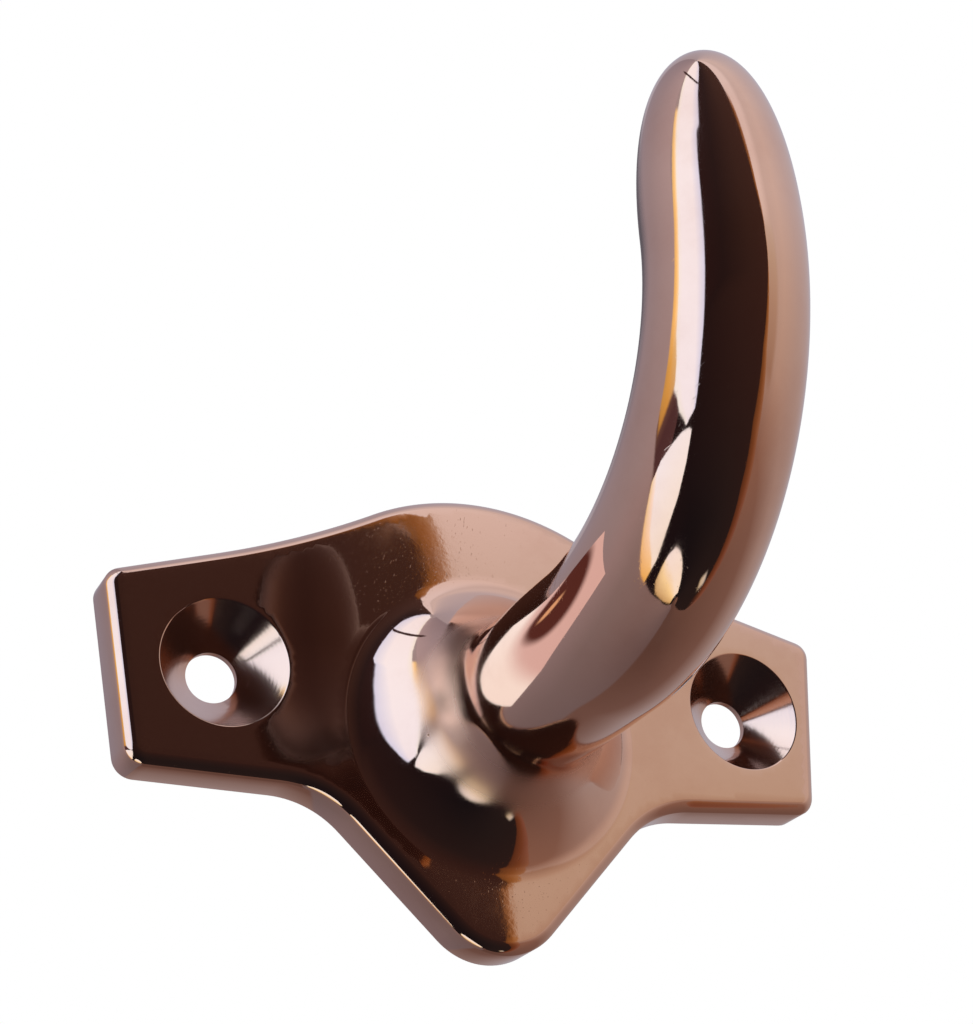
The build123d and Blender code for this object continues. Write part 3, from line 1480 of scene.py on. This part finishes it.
@dataclass(frozen=True)
class Studio:
    """Pale floor, white surround, soft lamps and the cards that a polished hook is lit with.

    Lengths are in metres, and powers in watts.
    """

    floor_z: float = -0.40
    floor_half_width: float = 6.0
    floor_colour: Colour = (0.86, 0.86, 0.85)
    floor_roughness: float = 0.9
    mottle_scale: float = 3.0
    mottle_tint: float = 0.98
    world_light: float = 0.62
    lamp_size: float = 1.2
    key_place: Point = (-0.8, -1.0, 1.3)
    key_power: float = 16.0
    fill_place: Point = (1.1, -0.9, 0.8)
    fill_power: float = 16.0 / 3

    def cards(self) -> list[Card]:
        """List the cards.

        Returns:
            The cards that surround the hook, the widest first.
        """
        return [
            Card("pale_tent", tuple((angle, 0, 360) for angle in range(-90, 91, 30)),
                 ((0.1, (0.24, 0.15, 0.12)), (0.32, (0.33, 0.21, 0.17)), (0.44, (0.6, 0.5, 0.46)),
                  (0.55, (0.7, 0.62, 0.59)), (0.68, (0.82, 0.78, 0.81)),
                  (0.85, (0.84, 0.84, 0.92))),
                 ((0.0, (1.15, 1.15, 1.15)), (0.077, (1.13, 1.13, 1.15)), (0.1, (0.92, 0.9, 0.9)),
                  (0.14, (0.96, 0.93, 0.92)), (0.22, (0.80, 0.80, 0.85)),
                  (0.40, (0.60, 0.62, 0.71)), (0.70, (0.55, 0.55, 0.60))),
                 distance=1.30),
            Card("grey_side", ((-88, -182, -92), (-30, -182, -95), (0, -182, -95), (40, -182, -94),
                               (70, -182, -80), (88, -180, -40)),
                 ((0.15, (0.22, 0.18, 0.2)), (0.34, (0.25, 0.22, 0.25)), (0.46, (0.33, 0.29, 0.34)),
                  (0.58, (0.36, 0.34, 0.41)), (0.72, (0.43, 0.41, 0.5)), (0.9, (0.42, 0.4, 0.5))),
                 ((0.0, (0.82, 0.82, 0.84)), (0.5, (1.0, 1.0, 1.0)), (0.95, (1.28, 1.26, 1.22))),
                 soft=0.04, distance=1.25),
            Card("brown_tent", ((-20, 12, 44), (-5, 12, 44), (8, 12, 43), (18, 12, 41),
                                (27, 12, 38)),
                 ((0.0, (0.38, 0.25, 0.19)), (0.5, (0.56, 0.43, 0.35)), (0.72, (0.64, 0.54, 0.46)),
                  (0.9, (0.71, 0.65, 0.62)), (1.0, (0.78, 0.74, 0.75))),
                 soft=0.2, soft_ends=0.15, distance=1.25),
            Card("dark_flag", ((-88, -110, 110), (-75, -97, 100), (-60, -97, 76), (-45, -97, 48),
                               (-30, -95, 31), (-17, -94, 28), (-5, -93, 27), (3, -88, 26.5),
                               (8, -56, 26.3), (13, -56, 26.2), (15, -56, 26.0), (22, -55, 25.1),
                               (24, -55, 24.5), (25, -55, 23.8), (27, -55, 22.8), (45, -52, 17),
                               (60, -48, 13), (88, -40, 8)),
                 ((0.15, (0.020, 0.017, 0.020)), (0.45, (0.034, 0.020, 0.020)),
                  (0.62, (0.042, 0.025, 0.023)), (0.85, (0.060, 0.040, 0.040))),
                 ((0.0, (0.7, 0.6, 0.7)), (0.3, (0.6, 0.6, 0.7)), (0.7, (1.1, 1.0, 0.95)),
                  (1.0, (1.3, 1.1, 1.0))),
                 distance=1.20),
            Card("brown_edge", ((-75, 88, 104), (-45, 38, 58), (-30, 26, 40), (-10, 23, 29),
                                (5, 25, 27.2), (12, 25.9, 26.4), (15, 25.8, 26.2), (20, 25.0, 25.4),
                                (22, 24.7, 25.3), (24, 24.1, 25.1), (25.5, 23.5, 24.9),
                                (27, 22.8, 24.6), (40, 17, 21), (60, 11, 16)),
                 ((0.2, (0.22, 0.09, 0.05)), (0.6, (0.40, 0.20, 0.07)), (0.8, (0.36, 0.18, 0.07))),
                 ((0.0, (0.5, 0.45, 0.4)), (0.5, (0.9, 0.8, 0.7)), (1.0, (1.3, 1.5, 2.0))),
                 soft=0.1, soft_ends=0.08, distance=1.17),
            Card("brown_gap", ((-15, -94, -82), (-8, -97, -76), (0, -100, -80), (5, -102, -86),
                               (9, -101, -94)),
                 ((0.0, (0.11, 0.06, 0.07)), (0.5, (0.10, 0.05, 0.06)), (1.0, (0.24, 0.15, 0.12))),
                 soft=0.1, soft_ends=0.1, distance=1.15),
            Card("soft_box", ((-17, -67, -58), (-14, -70, -57), (-8, -77, -56), (-2, -82, -55),
                              (3, -88, -54), (15, -93, -53), (28, -93, -53), (40, -88, -51),
                              (46, -85, -49), (48, -85, -44), (60, -82, -41), (75, -80, -32),
                              (88, -75, -20)),
                 ((0.0, (1.25, 1.55, 2.0)), (0.6, (1.30, 1.60, 2.0)), (1.0, (1.25, 1.45, 1.75))),
                 ((0.0, (1.0, 1.0, 0.85)), (0.2, (1.0, 1.0, 1.0)), (0.7, (1.0, 1.0, 1.0)),
                  (1.0, (0.72, 0.78, 0.95))),
                 soft=0.05, distance=1.12),
            Card("dark_bar", ((65.5, -43, -35), (68.5, -54, -46), (72, -72, -60), (74.5, -95, -76),
                              (75.5, -104, -88)),
                 ((0.0, (0.05, 0.025, 0.03)), (1.0, (0.06, 0.03, 0.03))),
                 soft=0.2, distance=1.10),
            Card("soft_box_low", ((-50, -90, -85), (-46, -97, -78), (-38, -97, -66),
                                  (-30, -97, -61), (-22, -96, -59), (-20, -96, -62),
                                  (-17, -95, -69), (-12, -94, -84), (-10, -93, -90)),
                 ((0.0, (1.30, 1.50, 1.55)), (1.0, (1.25, 1.55, 1.95))),
                 soft=0.03, distance=1.12),
            Card("soft_box_foot", ((-86, -100, -25), (-75, -96, -40), (-66, -95, -52),
                                   (-60, -90, -62), (-58, -80, -72)),
                 ((0.0, (1.30, 1.40, 1.30)), (1.0, (1.30, 1.50, 1.70))),
                 ((0.0, (0.55, 0.38, 0.18)), (0.35, (1.0, 0.85, 0.5)), (0.6, (1.0, 1.0, 1.0))),
                 soft=0.04, distance=1.12),
            Card("gold_edge", ((-50, -98, -90), (-44, -99, -89), (-30, -98, -91), (-16, -97, -91),
                               (-10, -96, -92)),
                 ((0.0, (1.25, 0.90, 0.25)), (0.5, (1.30, 1.10, 0.60)), (1.0, (1.30, 1.35, 1.0))),
                 ((0.0, (0.9, 0.8, 0.6)), (1.0, (1.05, 1.2, 2.0))), soft=0.12, distance=1.08),
            Card("gold_edge_upper", ((1, -99, -84), (8, -102, -86), (14, -100, -90), (28, -98, -90),
                                     (40, -93, -85), (56, -88, -81)),
                 ((0.0, (0.80, 0.52, 0.15)), (0.2, (1.0, 0.74, 0.26)), (0.3, (1.35, 1.10, 0.50)),
                  (1.0, (1.35, 1.30, 0.85))),
                 ((0.0, (0.7, 0.65, 0.6)), (0.5, (1.0, 0.9, 0.7)), (1.0, (1.05, 1.25, 2.0))),
                 soft=0.12, soft_ends=0.05, distance=1.08),
            Card("gold_spot", ((-73, 58, 80), (-66, 60, 76)), ((0.0, (0.75, 0.70, 0.45)),
                                                               (1.0, (0.80, 0.90, 0.95))),
                 soft=0.35, soft_ends=0.35, distance=1.08),
        ]

    def floor(self) -> None:
        """Lay the pale floor, which the reflections skip because the cards stand for it."""
        made, graph = new_material("pale_floor")
        where = graph.add("ShaderNodeTexCoord", output="Object")
        values = {"Vector": where, "Scale": self.mottle_scale}
        mottle = graph.add("ShaderNodeTexNoise", None, values)
        tinted = tuple(self.mottle_tint * part for part in self.floor_colour)
        values = {
            "Base Color": graph.mix(mottle, self.floor_colour, tinted),
            "Roughness": self.floor_roughness,
        }
        shader = graph.add("ShaderNodeBsdfPrincipled", None, values)
        graph.add("ShaderNodeOutputMaterial", None, {"Surface": shader})
        half, z = self.floor_half_width, self.floor_z
        corners = [(-half, -half, z), (half, -half, z), (half, half, z), (-half, half, z)]
        mesh = new_mesh("floor", corners, [(0, 1, 2, 3)])
        mesh.materials.append(made)
        floor = new_object("floor", mesh)
        floor.visible_glossy = False

    def world(self) -> None:
        """White surround for the camera and for reflections, with a plain level of light."""
        world = bpy.data.worlds.new("surround")
        world.use_nodes = True
        bpy.context.scene.world = world
        graph = Graph(world.node_tree)
        rays = graph.add("ShaderNodeLightPath", output="Is Camera Ray")
        seen = rays.math("MAXIMUM", rays.sibling("Is Glossy Ray"))
        seen = seen.math("MAXIMUM", rays.sibling("Is Transmission Ray"))
        strength = seen * (1 - self.world_light) + self.world_light
        values = {"Color": (1, 1, 1, 1), "Strength": strength}
        back = graph.add("ShaderNodeBackground", None, values)
        graph.add("ShaderNodeOutputWorld", None, {"Surface": back})

    def lamp(self, name: str, place: Point, power: float) -> None:
        """Hang a soft lamp that aims at the hook and stays out of its reflections.

        Args:
            name: Name of the lamp.
            place: Where it hangs.
            power: Its power.
        """
        light = bpy.data.lights.new(name, "AREA")
        light.size = self.lamp_size
        light.energy = power
        lamp = new_object(name, light)
        lamp.location = place
        lamp.rotation_euler = (-Vector(place)).to_track_quat("-Z", "Y").to_euler()
        lamp.visible_glossy = False

    def build(self) -> None:
        """Set up floor, surround, lamps and cards."""
        self.floor()
        self.world()
        self.lamp("key_lamp", self.key_place, self.key_power)
        self.lamp("fill_lamp", self.fill_place, self.fill_power)
        for card in self.cards():
            card.build()
        PaintedReflectionCard().build()


@dataclass(frozen=True)
class PhotoCamera:
    """Camera at the photograph's viewing angle, low and to the left of the hook."""

    place: Point = (-68.90 * MM, -144.21 * MM, -58.02 * MM)
    right: Point = (0.90708657, -0.41520081, -0.06929817)
    down: Point = (0.11933841, 0.41152327, -0.9035524)
    forward: Point = (0.4036735, 0.81133032, 0.42283664)
    focal_pixels: float = 2149.65
    frame_height: int = 1024
    sensor: float = 36.0
    clip_start: float = 5.0 * MM

    def build(self) -> bpy.types.Object:
        """Create the camera and make it the scene's own.

        Returns:
            The camera.
        """
        data = bpy.data.cameras.new("photo_camera")
        data.sensor_width = self.sensor
        data.lens = self.focal_pixels * self.sensor / self.frame_height
        data.clip_start = self.clip_start
        camera = new_object("photo_camera", data)
        axes = Matrix((self.right, [-part for part in self.down], [-part for part in self.forward]))
        camera.matrix_world = Matrix.Translation(self.place) @ axes.transposed().to_4x4()
        bpy.context.scene.camera = camera
        return camera


def main() -> None:
    """Build the casting, the studio and the camera, and report each piece."""
    logging.basicConfig(level=logging.INFO, format="%(name)s: %(message)s")
    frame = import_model()
    LOG.info("frame: %s", ", ".join(frame["nodes"]))
    camera = PhotoCamera().build()
    LOG.info("camera: lens %.2f", camera.data.lens)
    piece = Casting().build()
    LOG.info("piece %s: %d vertices", piece.name, len(piece.data.vertices))
    Studio().build()
    bpy.context.scene.view_settings.view_transform = "Standard"


if __name__ == "__main__":
    main()
